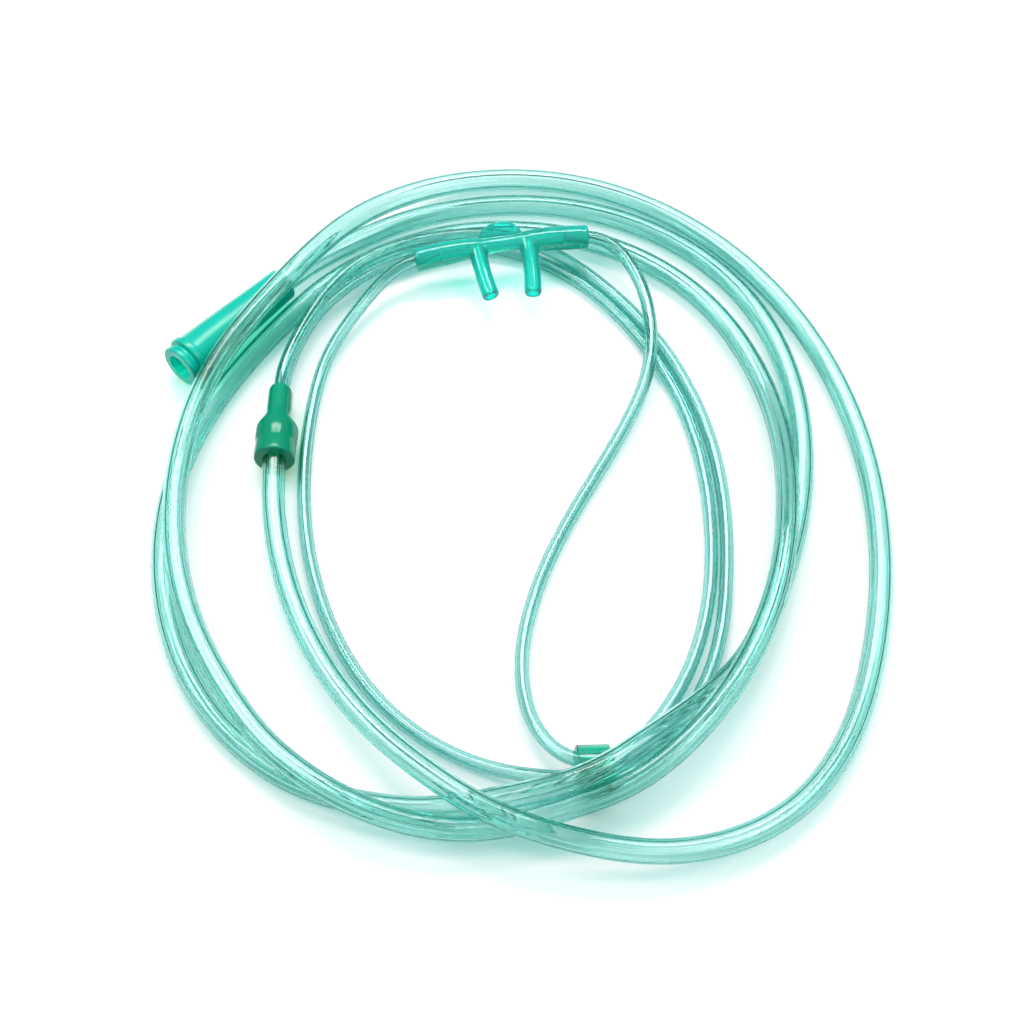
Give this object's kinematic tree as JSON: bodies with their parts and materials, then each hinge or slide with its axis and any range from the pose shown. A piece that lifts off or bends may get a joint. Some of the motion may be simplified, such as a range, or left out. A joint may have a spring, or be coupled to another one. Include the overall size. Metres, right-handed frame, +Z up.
{
  "type": "nasal oxygen cannula",
  "caption": "Nasal oxygen cannula: soft nasal piece with two prongs, thin tubes with a slider, a Y connector, a coiled supply tube and a funnel connector for an oxygen outlet.",
  "frame": {"origin": "centre of the underside of the box round the four fittings (nasal piece, slider, Y connector and funnel), on the surface the cannula lies on", "axes": "+Z up from the surface, +X along the funnel connector from its mouth to its narrow end, +Y across towards the funnel"},
  "size_m": [0.2015, 0.2081, 0.0167],
  "materials": {
    "nasal_prongs": "soft translucent green vinyl, glossy",
    "tube_slider": "translucent green vinyl, glossy",
    "y_connector": "translucent deep green vinyl, glossy",
    "funnel_connector": "translucent green vinyl, glossy",
    "supply_tube": "clear pale green vinyl with fine ribs along the bore, glossy",
    "thin_tube": "clear pale green vinyl, glossy"
  },
  "bodies": {
    "root": {"nasal_prongs": "nasal_prongs", "tube_slider": "tube_slider", "y_connector": "y_connector", "funnel_connector": "funnel_connector", "supply_tube": "supply_tube", "left_tube": "thin_tube", "right_tube": "thin_tube"}
  },
  "joints": []
}
